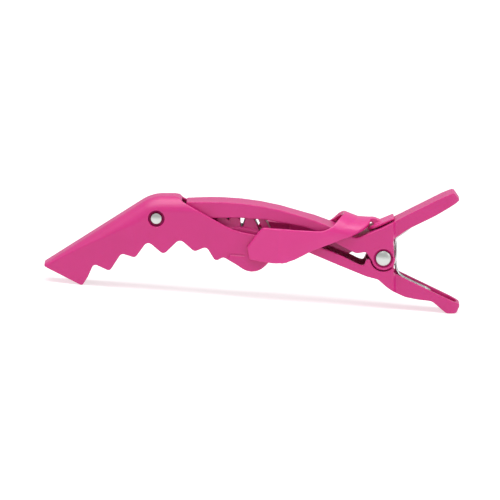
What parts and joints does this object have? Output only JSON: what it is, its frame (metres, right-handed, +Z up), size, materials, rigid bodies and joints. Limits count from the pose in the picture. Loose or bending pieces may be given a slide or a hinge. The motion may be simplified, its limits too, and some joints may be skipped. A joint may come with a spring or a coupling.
{
  "type": "alligator hair clip",
  "caption": "Double-hinged alligator hair clip with a wavy-edged snout, spring-loaded handles and an elastic strap.",
  "frame": {"origin": "middle of the clip's box at table level, as it stands on the nose and the lower handle", "axes": "+X from the nose to the handles, +Z up, the hinge pins along Y"},
  "size_m": [0.115, 0.019, 0.0334],
  "materials": {
    "pink_plastic": "satin moulded plastic, slightly translucent",
    "pink_elastic": "satin moulded elastomer",
    "pin_steel": "domed, bright",
    "spring_steel": "drawn wire"
  },
  "bodies": {
    "lower_lever": {"lower_lever": "pink_plastic", "hinge_pin": "pin_steel", "torsion_spring": "spring_steel"},
    "upper_lever": {"upper_lever": "pink_plastic", "front_pin": "pin_steel"},
    "snout": {"snout": "pink_plastic", "elastic_strap": "pink_elastic"}
  },
  "joints": [
    {"name": "main_hinge", "type": "hinge", "parent": "lower_lever", "child": "upper_lever", "pos_m": [0.03543, 0, 0.01409], "axis": [0, 1, 0], "range_deg": [0, 30], "stiffness_Nm_per_rad": 0.2, "springref_deg": -42.97, "deforming": ["torsion_spring"]},
    {"name": "snout_pivot", "type": "hinge", "parent": "upper_lever", "child": "snout", "pos_m": [-0.02774, 0, 0.02012], "axis": [0, 1, 0], "range_deg": [0, 20], "stiffness_Nm_per_rad": 0.05, "springref_deg": -28.65, "deforming": ["elastic_strap"]}
  ]
}
